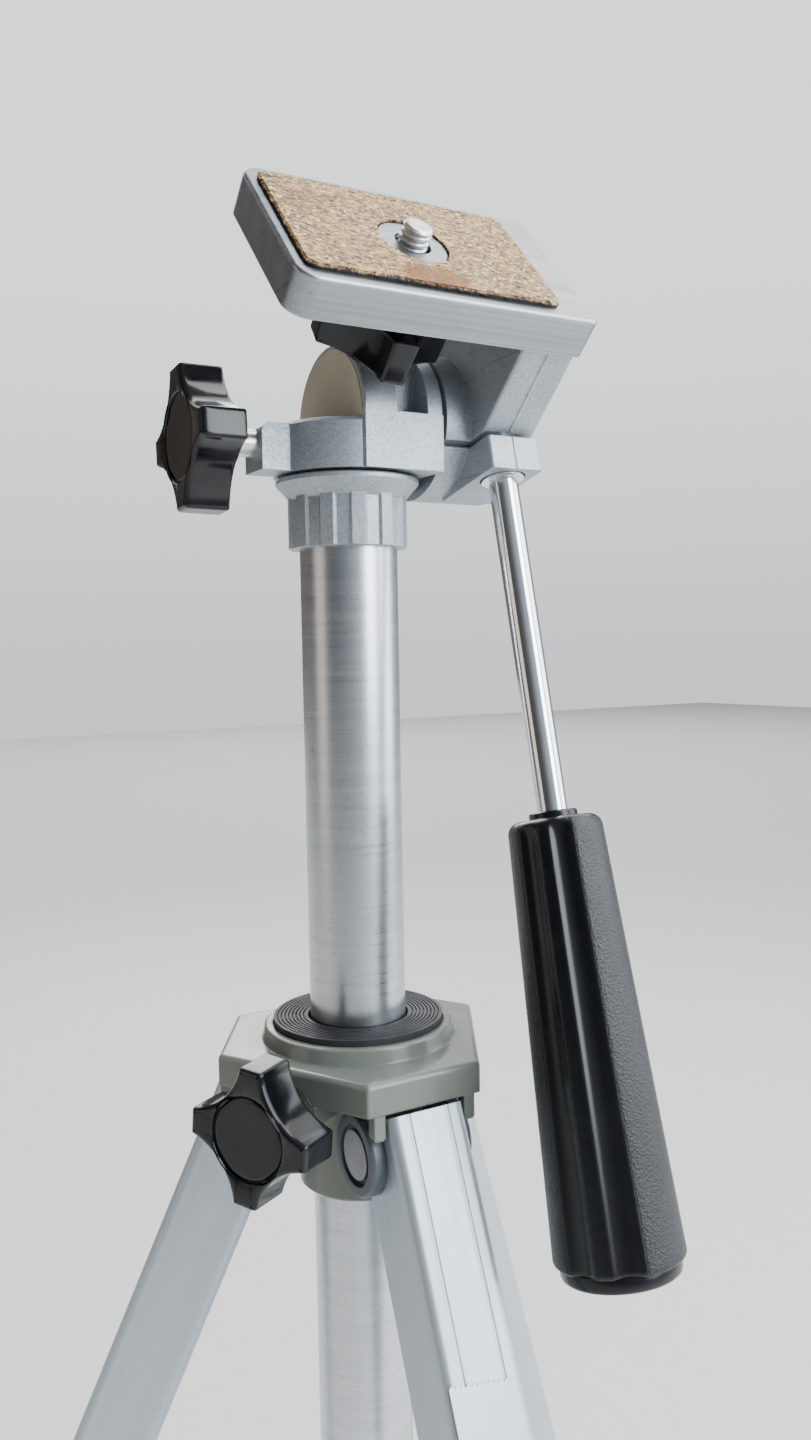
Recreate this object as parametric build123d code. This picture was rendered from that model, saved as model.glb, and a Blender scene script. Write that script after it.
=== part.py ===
"""Camera tripod with a pan and tilt head, a sliding centre column and three legs in three
sections each. Millimetres, +Z up. The origin is on the floor, on the column's axis.
-Y is the operator's side, where the pan handle hangs, and X is the tilt axis.
"""
from build123d import *
from math import cos, radians, sin
import os

os.makedirs("parts", exist_ok=True)

# ---- stance ----
LEG_AZIMUTH = {"front": 270, "right": 30, "left": 150}
SPREAD = 23.2            # leg angle from the vertical, degrees
LEG_LENGTH = 452.0       # hinge to sole along the leg, with both sections pushed in
HINGE_R = 20.6           # hinge axis from the column's axis
HINGE_DROP = 23.2        # hinge axis below the top of the rubber ring
TUBE_OFFSET = 5.0        # leg centreline outward of the hinge axis
HINGE_Z = LEG_LENGTH * cos(radians(SPREAD)) - TUBE_OFFSET * sin(radians(SPREAD))
RING_Z = HINGE_Z + HINGE_DROP    # top of the rubber ring

# ---- fits ----
RUNNING = 0.06           # radial clearance of a shaft that turns or slides
WALL_GAP = 0.3           # gap between faces that pass each other

# ---- centre column and head base ----
COLUMN_R = 11.0
COLUMN_WALL = 1.2
COLUMN_TOP = RING_Z + 117.0
COLUMN_BOTTOM = RING_Z - 205.0
COLLAR_BOTTOM = RING_Z + 106.5
COLLAR_TOP = RING_Z + 117.8
COLLAR_RIDGES = 12
COLLAR_RIDGE_R = 13.45
COLLAR_GROOVE_R = 12.8
COLLAR_RIDGE_HALF = 6.4  # degrees, half the width of a ridge
COLLAR_FLANK = 2.4       # degrees, the slanted side of a ridge
COLLAR_TURN = 13.2       # degrees, place of the first ridge
FLARE_R = 16.1
FLARE_TOP = RING_Z + 121.8
FLARE_RIM = 1.2
STUD_R = 7.0
STUD_TOP = RING_Z + 130.6
GROOVE_R = 5.6

# ---- pan body ----
TILT_Z = RING_Z + 134.6
PAN_R = 16.6
PAN_BOTTOM = RING_Z + 122.4
PAN_RING_TOP = RING_Z + 133.0
BLOCK_X0 = -4.0
BLOCK_X1 = 15.5
CREASE = 0.8             # side of the square cut that makes the V line beside the block
EAR_X = -22.4
EAR_HALF = 4.8
PAN_SCREW_Z = RING_Z + 128.4
SCREW_R = 3.0

# ---- tilt clamp ----
TILT_REST = 46.95        # tilt of the platform towards the operator at rest
HANDLE_LEAN = 13.3       # handle from the vertical at rest
DRUM_R = 16.5
DRUM_X0 = 16.5
ARM_X0 = 22.8
ARM_X1 = 36.2
ARM_FRONT = 17.2
ARM_BACK = 15.9
TRUNNION_R = 10.2
TRUNNION_X0 = 9.0
TRUNNION_X1 = 31.9
SPLIT_UPPER = 8.4        # split faces, below the tilt axis along the handle
SPLIT_LOWER = 9.8
TONGUE_HALF = 11.0
LUG_FRONT = 21.3
LUG_BOTTOM = 17.2
ROD_X = 29.5
ROD_OFFSET = 15.1        # handle axis in front of the tilt axis
ROD_R = 3.3
COUNTERBORE_R = 5.1

# ---- platform ----
PLATE_X = (-31.5, 36.0)
PLATE_Y = (-20.0, 20.0)
PLATE_TOP = 43.3         # above the tilt axis
PLATE_THICK = 8.3
PLATE_WALL = 2.0
CORK_X = (-29.3, 27.4)
CORK_Y = (-17.0, 16.4)
CORK_THICK = 1.1
CORK_CORNER = 2.2
CORK_HOLE_R = 7.6
LAND_R = 7.35            # raised land of the plate inside the cork's hole
LAND_RISE = 0.6
CAMERA_SCREW_R = 3.175   # 1/4 inch
CAMERA_SCREW_TIP = 47.6
SEAT_R = 3.9             # sunk seat of the camera screw's retaining ring
SEAT_DEPTH = 2.3         # below the plate's top
RING_SINK = 0.6          # the ring's top below the plate's top
NECK_R = 2.6             # the screw's neck above the ring
NECK_RISE = 1.1          # its thread starts this far above the plate's top
SCREW_X = -1.2
SCREW_Y = -1.4

# ---- knobs ----
KNOB_R = 15.2
KNOB_THICK = 9.8
KNOB_LOBES = 4
KNOB_BORE = 4.5          # depth of the bore from the back face
SCREW_KNOB_BACK = 30.2   # above the tilt axis

# ---- handle ----
GRIP_START = 93.5        # along the handle from the tilt axis
GRIP_END = 183.6
GRIP_TOP_R = 9.9
GRIP_END_R = 13.5
CAP_END = 186.6

# ---- canopy ----
HEX_SHORT = 30.4         # centre to the sides over the legs
HEX_LONG = 27.0          # centre to the sides between the legs
CANOPY_TOP = RING_Z - 4.7
CANOPY_BOTTOM = RING_Z - 11.6
CANOPY_WALL = 2.2
RIM_R = 21.8
RING_R = 19.5
SLEEVE_R = 14.3
SLEEVE_BOTTOM = RING_Z - 38.5
LOCK_AZIMUTH = 210
LOCK_Z = RING_Z - 14.0
LOCK_BOSS_R = 5.5
LUG_R = 6.0
LUG_HALF = 5.4

# ---- legs: x outward, y across, z up the leg, from the hinge axis ----
TUBE = 18.0
TUBE_WALL = 1.1
TUBE_TOP = 6.0
TUBE_END = -378.0
MIDDLE = 15.2
MIDDLE_WALL = 1.0
MIDDLE_TOP = -15.0
MIDDLE_END = -416.0
LOWER = 12.6
LOWER_WALL = 1.0
LOWER_TOP = -30.0
LOWER_END = -440.0
CHEEK_R = 8.9
CHEEK_IN = 9.1
CHEEK_OUT = 12.2
PIN_R = 2.5
LOCK_SIZE = 23.0
LEVER_PIVOT = 19.5       # lever axis outward of the hinge axis, on the upper lock

UPWARD = (Align.CENTER, Align.CENTER, Align.MIN)


def box(x0, x1, y0, y1, z0, z1):
    """Block between two corners."""
    middle = Pos((x0 + x1) / 2, (y0 + y1) / 2, (z0 + z1) / 2)
    return middle * Box(x1 - x0, y1 - y0, z1 - z0)


def post(radius, z0, z1):
    """Upright cylinder on the Z axis."""
    return Pos(0, 0, z0) * Cylinder(radius, z1 - z0, align=UPWARD)


def bar_x(radius, x0, x1, y=0.0, z=0.0):
    """Cylinder along X."""
    return Pos(x0, y, z) * Rot(0, 90, 0) * Cylinder(radius, x1 - x0, align=UPWARD)


def bar_y(radius, y0, y1, x=0.0, z=0.0):
    """Cylinder along Y."""
    return Pos(x, y0, z) * Rot(-90, 0, 0) * Cylinder(radius, y1 - y0, align=UPWARD)


def save(name, shape):
    """Write one named piece."""
    export_step(shape, f"parts/{name}.step")


def tilted(shape):
    """Place a piece drawn level, with the tilt axis as its X axis, at the rest tilt."""
    return Pos(0, 0, TILT_Z) * Rot(TILT_REST, 0, 0) * shape


def along_handle(shape):
    """Place a piece drawn with the handle hanging straight down from the tilt axis."""
    return Pos(0, 0, TILT_Z) * Rot(-HANDLE_LEAN, 0, 0) * shape


def handle_to_level(shape):
    """Bring a shape drawn in the handle's directions into the platform's directions."""
    return Rot(-HANDLE_LEAN - TILT_REST, 0, 0) * shape


# ---------------------------------------------------------------- knobs
def star_knob(radius, hub_length, bore_r):
    """Four-lobed knob on +Z: back face at z = 0, hub behind it, blind bore from behind."""
    half = 0.2 * radius
    waist = 0.47 * radius
    tip = Line((radius, -half), (radius, half))
    flank = ThreePointArc((radius, half), (waist, waist), (half, radius))
    edges = [edge.rotate(Axis.Z, 360 / KNOB_LOBES * k) for k in range(KNOB_LOBES) for edge in (tip, flank)]
    outline = fillet(make_face(edges).vertices(), 1.0)
    body = extrude(outline, KNOB_THICK)
    body = fillet(body.faces().sort_by(Axis.Z)[-1].edges(), 0.9)
    body = chamfer(body.faces().sort_by(Axis.Z)[0].edges(), 0.4)
    groove = post(0.6 * radius, KNOB_THICK - 1.1, KNOB_THICK + 1)
    disc = post(0.54 * radius, KNOB_THICK - 2, KNOB_THICK - 0.35)
    hub = post(5.2, -hub_length, 1)
    return body - groove + disc + hub - post(bore_r, -hub_length, KNOB_BORE)


# ---------------------------------------------------------------- head
def head_base():
    """Flared seat, ridged collar round the column top, and the stud that the head turns on."""
    points = []
    foot_half = COLLAR_RIDGE_HALF + COLLAR_FLANK
    for k in range(COLLAR_RIDGES):
        middle = COLLAR_TURN + 360 / COLLAR_RIDGES * k
        for radius, offset in ((COLLAR_GROOVE_R, -foot_half), (COLLAR_RIDGE_R, -COLLAR_RIDGE_HALF),
                               (COLLAR_RIDGE_R, COLLAR_RIDGE_HALF), (COLLAR_GROOVE_R, foot_half)):
            angle = radians(middle + offset)
            points.append((radius * cos(angle), radius * sin(angle)))
    collar = Pos(0, 0, COLLAR_BOTTOM) * extrude(make_face(Polyline(points, close=True)), COLLAR_TOP - COLLAR_BOTTOM)
    profile = Polyline(
        (0, COLLAR_TOP - 0.6), (13.0, COLLAR_TOP - 0.6), (FLARE_R, FLARE_TOP - FLARE_RIM),
        (FLARE_R, FLARE_TOP - 0.4), (FLARE_R - 0.5, FLARE_TOP), (STUD_R, FLARE_TOP),
        (STUD_R, PAN_SCREW_Z - 2.6), (GROOVE_R, PAN_SCREW_Z - 1.6), (GROOVE_R, PAN_SCREW_Z + 1.2),
        (STUD_R, PAN_SCREW_Z + 1.7), (STUD_R, STUD_TOP), (0, STUD_TOP), close=True)
    flare = revolve(Plane.XZ * make_face(profile), Axis.Z)
    socket = post(COLUMN_R, COLLAR_BOTTOM - 1, COLUMN_TOP)
    return collar + flare - socket


def pan_body():
    """Pan ring with the lock ear, and the block with a round top that carries the tilt trunnion."""
    ring = post(PAN_R, PAN_BOTTOM, PAN_RING_TOP)
    ring = chamfer(ring.faces().sort_by(Axis.Z)[-1].edges(), 0.8)
    ring -= box(BLOCK_X1, 2 * PAN_R, -PAN_R, PAN_R, PAN_BOTTOM - 1, TILT_Z)
    ear = box(EAR_X, -8, -EAR_HALF, EAR_HALF, PAN_BOTTOM, PAN_RING_TOP - 0.6)
    ear = fillet(ear.edges().filter_by(Axis.Y).group_by(Axis.X)[0].sort_by(Axis.Z)[-1:], 2.0)
    block = box(BLOCK_X0, BLOCK_X1, -PAN_R, PAN_R, PAN_BOTTOM, TILT_Z)
    crown = bar_x(PAN_R, BLOCK_X0, BLOCK_X1, z=TILT_Z)
    crown = chamfer(crown.edges().filter_by(GeomType.CIRCLE), 0.35)
    crown -= box(BLOCK_X0 - 1, BLOCK_X1 + 1, -PAN_R, PAN_R, TILT_Z - 2 * PAN_R, PAN_BOTTOM)
    slot = box(4.0, 11.6, -PAN_R - 1, -PAN_R + 6.5, TILT_Z, TILT_Z + 12)
    crease = Pos(BLOCK_X0 - 0.1, 0, PAN_BOTTOM - 1) * Rot(0, 0, 45) * Box(CREASE, CREASE, 30, align=UPWARD)
    body = ring + ear + block + crown - slot - Pos(0, -PAN_R + 0.3, 0) * crease
    bore = post(STUD_R + RUNNING, PAN_BOTTOM - 1, STUD_TOP + 0.5)
    lock_hole = bar_x(SCREW_R + RUNNING, EAR_X - 1, -STUD_R + 1, z=PAN_SCREW_Z)
    socket = bar_x(TRUNNION_R, TRUNNION_X0, BLOCK_X1 + 1, z=TILT_Z)
    return body - bore - lock_hole - socket


def pan_lock_screw():
    """Lock screw, threaded through the ear, with a dog point in the stud's groove."""
    return bar_x(SCREW_R, -34.0, -7.6, z=PAN_SCREW_Z) + bar_x(1.2, -8, -GROOVE_R - 0.1, z=PAN_SCREW_Z)


def pan_knob():
    knob = star_knob(KNOB_R, 2.4, SCREW_R)
    return Pos(-29.6, 0, PAN_SCREW_Z) * Rot(0, -90, 0) * Rot(0, 0, 4) * knob


def blank_label():
    """Blank paper label on the block's round-topped end face."""
    disc = bar_x(PAN_R - 1.2, BLOCK_X0 - 0.15, BLOCK_X0, z=TILT_Z)
    return disc - box(BLOCK_X0 - 1, BLOCK_X0 + 1, -PAN_R, PAN_R, TILT_Z - PAN_R, PAN_RING_TOP + 0.3)


def tilt_trunnion():
    """Fixed cylinder that the tilt clamp turns on."""
    return bar_x(TRUNNION_R, TRUNNION_X0, TRUNNION_X1, z=TILT_Z) - bar_x(2.5, 18, TRUNNION_X1 + 1, z=TILT_Z)


def trunnion_screw():
    """Screw and washer that keep the clamp on the trunnion, sunk in the arm's outer face."""
    shank = bar_x(2.5, 18.5, 34.0, z=TILT_Z)
    washer = bar_x(7.4, 33.5, 34.4, z=TILT_Z)
    head = chamfer(bar_x(4.4, 34.3, 36.0, z=TILT_Z).faces().sort_by(Axis.X)[-1].edges(), 0.5)
    slot = box(35.3, 37, -0.5, 0.5, TILT_Z - 5, TILT_Z + 5)
    return shank + washer + head - slot


def split_space(lower):
    """What the split takes away from the upper casting, in the handle's directions."""
    size = 60
    outer = box(0, size, -size, size, -size, -lower)
    inner = box(0, size, -TONGUE_HALF - 0.5, TONGUE_HALF + 0.5, -size, -3.0)
    return outer + inner


def tilt_bracket():
    """Upper clamp half and the arm that carries the platform, drawn level."""
    drum = bar_x(DRUM_R, DRUM_X0, ARM_X1)
    arm = box(ARM_X0, ARM_X1, -ARM_FRONT, ARM_BACK, 0, PLATE_TOP - PLATE_THICK)
    arm = fillet(arm.edges().filter_by(Axis.Z), 0.8)
    pad = box(ARM_X0 + 2, ARM_X1 - 2.3, -15, 15, PLATE_TOP - PLATE_THICK - 1, PLATE_TOP - 2.8)
    seam = box(ROD_X - 0.3, ROD_X + 0.3, -ARM_FRONT - 0.18, -ARM_FRONT + 1, 0, PLATE_TOP - PLATE_THICK)
    body = drum + arm + pad + seam
    bore = bar_x(TRUNNION_R + RUNNING, DRUM_X0 - 1, TRUNNION_X1 + 0.3)
    recess = bar_x(8.0, 33.4, ARM_X1 + 1) + bar_x(2.7, 30, 40)
    tapped = Pos(ROD_X, -ROD_OFFSET, 0) * post(ROD_R + RUNNING, -20, 3)
    screw_holes = [Pos(x, y, 0) * post(1.6, 22, 50) for x, y in PLATFORM_SCREWS]
    return body - bore - recess - handle_to_level(split_space(SPLIT_UPPER) + tapped) - screw_holes


def clamp_jaw():
    """Lower clamp half with the lug for the handle, drawn in the handle's directions."""
    drum = bar_x(DRUM_R, DRUM_X0, ARM_X1)
    lug = box(ARM_X0, ARM_X1, -LUG_FRONT, 0, -LUG_BOTTOM, -SPLIT_LOWER)
    lug = fillet(lug.edges().filter_by(Axis.Z).group_by(Axis.Y)[0], 0.8)
    seam = box(ROD_X - 0.3, ROD_X + 0.3, -LUG_FRONT - 0.18, -LUG_FRONT + 1, -LUG_BOTTOM, -SPLIT_LOWER)
    size = 60
    lower = box(0, size, -size, size, -size, -SPLIT_LOWER)
    tongue = box(0, size, -TONGUE_HALF, TONGUE_HALF, -size, -3.8)
    body = drum & (lower + tongue)
    bore = bar_x(TRUNNION_R + RUNNING, DRUM_X0 - 1, TRUNNION_X1 + 0.3)
    recess = bar_x(8.0, 33.4, ARM_X1 + 1) + bar_x(2.7, 30, 40)
    rod_hole = Pos(ROD_X, -ROD_OFFSET, 0) * post(ROD_R + RUNNING, -30, 0)
    counterbore = Pos(ROD_X, -ROD_OFFSET, 0) * post(COUNTERBORE_R, -30, -LUG_BOTTOM + 2.4)
    return body + lug + seam - bore - recess - rod_hole - counterbore


# ---------------------------------------------------------------- platform
PLATFORM_SCREWS = ((ROD_X, -9.0), (ROD_X, 9.0))


def camera_platform():
    """Cast plate, open underneath, with a boss for the camera screw."""
    x0, x1 = PLATE_X
    y0, y1 = PLATE_Y
    outline = Pos((x0 + x1) / 2, (y0 + y1) / 2) * Rectangle(x1 - x0, y1 - y0)
    sides = outline.vertices().group_by(Axis.X)
    outline = fillet(sides[0], 4.6)
    outline = fillet(outline.vertices().group_by(Axis.X)[-1], 2.2)
    bottom = PLATE_TOP - PLATE_THICK
    body = Pos(0, 0, bottom) * extrude(outline, PLATE_THICK)
    body = fillet(body.faces().sort_by(Axis.Z)[-1].edges(), 0.7)
    ceiling = PLATE_TOP - 2.8
    hollow = box(x0 + PLATE_WALL, x1 - PLATE_WALL, y0 + PLATE_WALL, y1 - PLATE_WALL, bottom - 1, ceiling)
    hollow = fillet(hollow.edges().filter_by(Axis.Z), 2.5)
    boss = Pos(SCREW_X, SCREW_Y, 0) * post(6.5, bottom + 0.6, ceiling + 1)
    ribs = [box(x0 + 1, ARM_X0, y - 0.7, y + 0.7, bottom + 3, ceiling + 1) for y in (-11, 7)]
    screw_hole = Pos(SCREW_X, SCREW_Y, 0) * post(CAMERA_SCREW_R + RUNNING, bottom - 1, PLATE_TOP + 1)
    land = Pos(SCREW_X, SCREW_Y, 0) * post(LAND_R, ceiling + 1, PLATE_TOP + LAND_RISE)
    seat = Pos(SCREW_X, SCREW_Y, 0) * post(SEAT_R, PLATE_TOP - SEAT_DEPTH, PLATE_TOP + 1)
    body = body - hollow + boss + ribs + land - screw_hole - seat
    for x, y in PLATFORM_SCREWS:
        body -= Pos(x, y, 0) * post(1.7, bottom - 1, PLATE_TOP + 1)
        body -= Pos(x, y, PLATE_TOP - 1.5) * Cone(1.6, 3.1, 1.5, align=UPWARD)
    return body


def platform_screws():
    """Two countersunk screws that hold the plate on the arm."""
    screws = []
    for x, y in PLATFORM_SCREWS:
        head = Pos(0, 0, PLATE_TOP - 1.5) * Cone(1.55, 3.0, 1.5, align=UPWARD)
        screw = head + post(1.55, 23, PLATE_TOP - 1) - box(-3, 3, -0.4, 0.4, PLATE_TOP - 0.8, PLATE_TOP + 1)
        screws.append(Pos(x, y, 0) * screw)
    return screws


def cork_pad():
    (x0, x1), (y0, y1) = CORK_X, CORK_Y
    pad = box(x0, x1, y0, y1, PLATE_TOP, PLATE_TOP + CORK_THICK)
    pad = fillet(pad.edges().filter_by(Axis.Z), CORK_CORNER)
    return pad - Pos(SCREW_X, SCREW_Y, 0) * post(CORK_HOLE_R, PLATE_TOP - 1, PLATE_TOP + 5)


def camera_screw():
    """1/4 inch captive screw: shank, retaining ring in the plate's seat, neck and thread."""
    shank = post(CAMERA_SCREW_R, SCREW_KNOB_BACK - KNOB_BORE, PLATE_TOP - RING_SINK)
    ring = post(SEAT_R - 0.3, PLATE_TOP - SEAT_DEPTH + 0.05, PLATE_TOP - RING_SINK)
    neck = post(NECK_R, PLATE_TOP - RING_SINK, PLATE_TOP + NECK_RISE)
    thread = post(CAMERA_SCREW_R, PLATE_TOP + NECK_RISE, CAMERA_SCREW_TIP)
    thread = chamfer(thread.faces().sort_by(Axis.Z)[-1].edges(), 0.6)
    return Pos(SCREW_X, SCREW_Y, 0) * (shank + ring + neck + thread)


def screw_knob():
    """Knob of the camera screw, hanging under the plate with its face down."""
    knob = star_knob(14.2, 4.6, CAMERA_SCREW_R)
    return Pos(SCREW_X, SCREW_Y, SCREW_KNOB_BACK) * Rot(180, 0, 0) * Rot(0, 0, 5) * knob


# ---------------------------------------------------------------- handle
def handle_rod():
    """Plated rod, threaded at the top, with the shoulder that pulls the jaw up."""
    rod = post(ROD_R, -GRIP_END + 25, 1.5)
    shoulder = post(4.8, -LUG_BOTTOM - 0.4, -LUG_BOTTOM + 2.3)
    return Pos(ROD_X, -ROD_OFFSET, 0) * (rod + shoulder)


def handle_grip():
    grip = Pos(0, 0, -GRIP_END) * Cone(GRIP_END_R, GRIP_TOP_R, GRIP_END - GRIP_START, align=UPWARD)
    grip = fillet(grip.edges(), 0.8)
    return Pos(ROD_X, -ROD_OFFSET, 0) * (grip - post(ROD_R, -GRIP_END + 25, 0))


def grip_end_cap():
    cap = post(GRIP_END_R - 1.0, -CAP_END, -GRIP_END)
    cap = chamfer(cap.faces().sort_by(Axis.Z)[0].edges(), 0.8)
    return Pos(ROD_X, -ROD_OFFSET, 0) * cap


# ---------------------------------------------------------------- column and canopy
def center_column():
    return post(COLUMN_R, COLUMN_BOTTOM, COLUMN_TOP) - post(COLUMN_R - COLUMN_WALL, COLUMN_BOTTOM - 1, COLUMN_TOP + 1)


def column_end_cap():
    """Plastic plug whose flange stops the column from pulling out of the sleeve."""
    flange = post(COLUMN_R + 1.4, COLUMN_BOTTOM - 3, COLUMN_BOTTOM)
    flange = chamfer(flange.faces().sort_by(Axis.Z)[0].edges(), 0.8)
    return flange + post(COLUMN_R - COLUMN_WALL, COLUMN_BOTTOM - 1, COLUMN_BOTTOM + 12)


def hexagon(short, long):
    """Hexagon with three short sides over the legs and three long sides between them."""
    big = 200.0
    face = Rectangle(big, big)
    for k in range(6):
        reach = short if k % 2 == 0 else long
        face -= Rot(0, 0, LEG_AZIMUTH["right"] + 60 * k) * Pos(reach + big, 0) * Rectangle(2 * big, 2 * big)
    return face


def canopy():
    """Hexagonal top cover with a raised rim for the rubber ring, and a tab beside each leg's cheek."""
    outline = fillet(hexagon(HEX_SHORT, HEX_LONG).vertices(), 0.8)
    shell = Pos(0, 0, CANOPY_BOTTOM) * extrude(outline, CANOPY_TOP - CANOPY_BOTTOM)
    shell = fillet(shell.faces().sort_by(Axis.Z)[-1].edges(), 1.3)
    inner = hexagon(HEX_SHORT - CANOPY_WALL, HEX_LONG - CANOPY_WALL)
    shell -= Pos(0, 0, CANOPY_BOTTOM - 1) * extrude(inner, CANOPY_TOP - 2.5 - CANOPY_BOTTOM + 1)
    rim_profile = Polyline(
        (RING_R + 0.2, CANOPY_TOP - 1), (RIM_R + 0.6, CANOPY_TOP - 1), (RIM_R + 0.3, CANOPY_TOP + 0.3),
        (RIM_R - 0.2, RING_Z - 1.7), (RIM_R - 0.7, RING_Z - 1.3), (RING_R + 0.2, RING_Z - 1.3), close=True)
    shell += revolve(Plane.XZ * make_face(rim_profile), Axis.Z)
    for azimuth in LEG_AZIMUTH.values():
        for side in (-1, 1):
            y0, y1 = sorted((side * 9.6, side * CHEEK_OUT))
            tab = box(27.6, HEX_SHORT - 0.2, y0, y1, RING_Z - 17.0, CANOPY_TOP - 2)
            shell += Rot(0, 0, azimuth) * fillet(tab.edges().filter_by(Axis.X).group_by(Axis.Z)[0], 0.7)
    notch = Rot(0, 0, LOCK_AZIMUTH) * bar_x(LOCK_BOSS_R + WALL_GAP, 20, 40, z=LOCK_Z)
    return shell - notch - post(COLUMN_R + 0.6, CANOPY_BOTTOM, RING_Z)


def rubber_ring():
    """Rubber buffer with concentric ribs round the column."""
    ring = post(RING_R, CANOPY_TOP, RING_Z) - post(COLUMN_R + 0.6, CANOPY_TOP - 1, RING_Z + 1)
    pitch = 0.85
    for k in range(8):
        radius = COLUMN_R + 1.5 + pitch * k
        ring -= post(radius + 0.3, RING_Z - 0.5, RING_Z + 1) - post(radius, RING_Z - 1, RING_Z + 2)
    return ring


def leg_spider():
    """Sleeve that guides the column, with a hinge lug for each leg and a boss for the column lock."""
    top = CANOPY_TOP - 2.5
    body = post(SLEEVE_R, SLEEVE_BOTTOM, top)
    body = chamfer(body.faces().sort_by(Axis.Z)[0].edges(), 0.6)
    body += post(23.0, top - 1.8, top)
    for azimuth in LEG_AZIMUTH.values():
        lug = box(11.5, HINGE_R, -LUG_HALF, LUG_HALF, HINGE_Z - LUG_R, HINGE_Z + LUG_R)
        lug += bar_y(LUG_R, -LUG_HALF, LUG_HALF, x=HINGE_R, z=HINGE_Z)
        body += Rot(0, 0, azimuth) * (lug - bar_y(PIN_R + RUNNING, -20, 20, x=HINGE_R, z=HINGE_Z))
    body += Rot(0, 0, LOCK_AZIMUTH) * bar_x(LOCK_BOSS_R, 12, 26, z=LOCK_Z)
    body -= Rot(0, 0, LOCK_AZIMUTH) * bar_x(SCREW_R + RUNNING, 5, 30, z=LOCK_Z)
    return body - post(COLUMN_R + RUNNING, SLEEVE_BOTTOM - 1, top + 1)


def column_lock_screw():
    return Rot(0, 0, LOCK_AZIMUTH) * bar_x(SCREW_R, COLUMN_R + 0.2, 37.0, z=LOCK_Z)


def column_lock_knob():
    knob = star_knob(KNOB_R - 0.6, 3.0, SCREW_R)
    return Rot(0, 0, LOCK_AZIMUTH) * Pos(32.5, 0, LOCK_Z) * Rot(0, 90, 0) * Rot(0, 0, -5) * knob


# ---------------------------------------------------------------- legs
def square_tube(size, wall, corner, z0, z1):
    """Square tube, centred on the leg's centreline."""
    inner = corner - wall + 0.3
    section = RectangleRounded(size, size, corner) - RectangleRounded(size - 2 * wall, size - 2 * wall, inner)
    return Pos(TUBE_OFFSET, 0, z0) * extrude(section, z1 - z0)


def leg_head():
    """Clevis inside the tube's top, with round cheeks outside it that hold the hinge pin."""
    inside = TUBE / 2 - TUBE_WALL - 0.1
    x0, x1 = TUBE_OFFSET - inside, TUBE_OFFSET + inside
    body = box(x0, x1, -inside, inside, -10, TUBE_TOP - 0.5)
    body = fillet(body.edges().filter_by(Axis.Z), 1.6)
    for side in (-1, 1):
        y0, y1 = sorted((side * CHEEK_IN, side * CHEEK_OUT))
        cheek = bar_y(CHEEK_R, y0, y1)
        outer = cheek.faces().sort_by(Axis.Y)[-1 if side > 0 else 0]
        cheek = chamfer(outer.edges(), 0.6)
        body += cheek
        y0, y1 = sorted((side * (inside - 1), side * (CHEEK_IN + 0.5)))
        body += bar_y(5.8, y0, y1)
        y0, y1 = sorted((side * 11.0, side * 14))
        body -= bar_y(6.5, y0, y1)
    slot = box(-20, LUG_R + 1.3, -LUG_HALF - WALL_GAP, LUG_HALF + WALL_GAP, -LUG_R - 1.3, 20)
    return body - slot - bar_y(PIN_R, -20, 20)


def leg_pin():
    """Hinge pin with a flat head at each end."""
    pin = bar_y(PIN_R, -11.2, 11.2)
    return pin + bar_y(5.2, 11.0, 12.0) + bar_y(5.2, -12.0, -11.0)


def upper_tube():
    """Outer leg section with two extruded lines on its outer face and a notch for the lug."""
    body = square_tube(TUBE, TUBE_WALL, 2.2, TUBE_END, TUBE_TOP)
    face_x = TUBE_OFFSET + TUBE / 2
    for y in (-4.6, 4.6):
        body -= box(face_x - 0.3, face_x + 1, y - 0.35, y + 0.35, TUBE_END - 1, TUBE_TOP + 1)
    notch = box(-10, 0, -LUG_HALF - 0.6, LUG_HALF + 0.6, -LUG_R - 2, 20)
    return body - notch - bar_y(5.9, -20, 20)


def middle_tube():
    return square_tube(MIDDLE, MIDDLE_WALL, 1.8, MIDDLE_END, MIDDLE_TOP)


def lower_tube():
    return square_tube(LOWER, LOWER_WALL, 1.5, LOWER_END, LOWER_TOP)


def glide(outer_inside, own_inside, top):
    """Plastic guide plugged in a section's top end; it slides in the section outside it."""
    rim = extrude(RectangleRounded(outer_inside - 0.24, outer_inside - 0.24, 1.7), 4)
    plug = extrude(RectangleRounded(own_inside, own_inside, 1.2), -9)
    return Pos(TUBE_OFFSET, 0, top) * (rim + plug - post(2.5, -10, 5))


def leg_lock(outer, inner, collar_top, tube_end, bottom):
    """Clamp collar on a section's lower end, with two ears for the lever."""
    half = LOCK_SIZE / 2 - (TUBE - outer) / 2
    x = TUBE_OFFSET
    collar = box(x - half, x + half, -half, half, bottom, collar_top)
    collar = fillet(collar.edges().filter_by(Axis.Z), 3.0)
    collar = chamfer(collar.faces().sort_by(Axis.Z)[-1].edges(), 0.8)
    hold = outer / 2
    pass_through = inner / 2 + 0.15
    pivot_x = lever_axis(outer)
    pivot_z = collar_top - 7
    for side in (-1, 1):
        y0, y1 = sorted((side * 6.4, side * 9.2))
        ear = box(x + half - 1, pivot_x, y0, y1, pivot_z - 3.2, pivot_z + 3.2)
        collar += ear + bar_y(3.2, y0, y1, x=pivot_x, z=pivot_z)
    collar -= box(x - hold, x + hold, -hold, hold, tube_end, collar_top + 1)
    collar -= box(x - pass_through, x + pass_through, -pass_through, pass_through, bottom - 1, tube_end + 1)
    return collar - bar_y(1.5 + RUNNING, -12, 12, x=pivot_x, z=pivot_z)


def lever_axis(outer):
    """Lever axis outward of the hinge axis, on the lock of a section of this size."""
    return LEVER_PIVOT - (TUBE - outer) / 2


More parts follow.
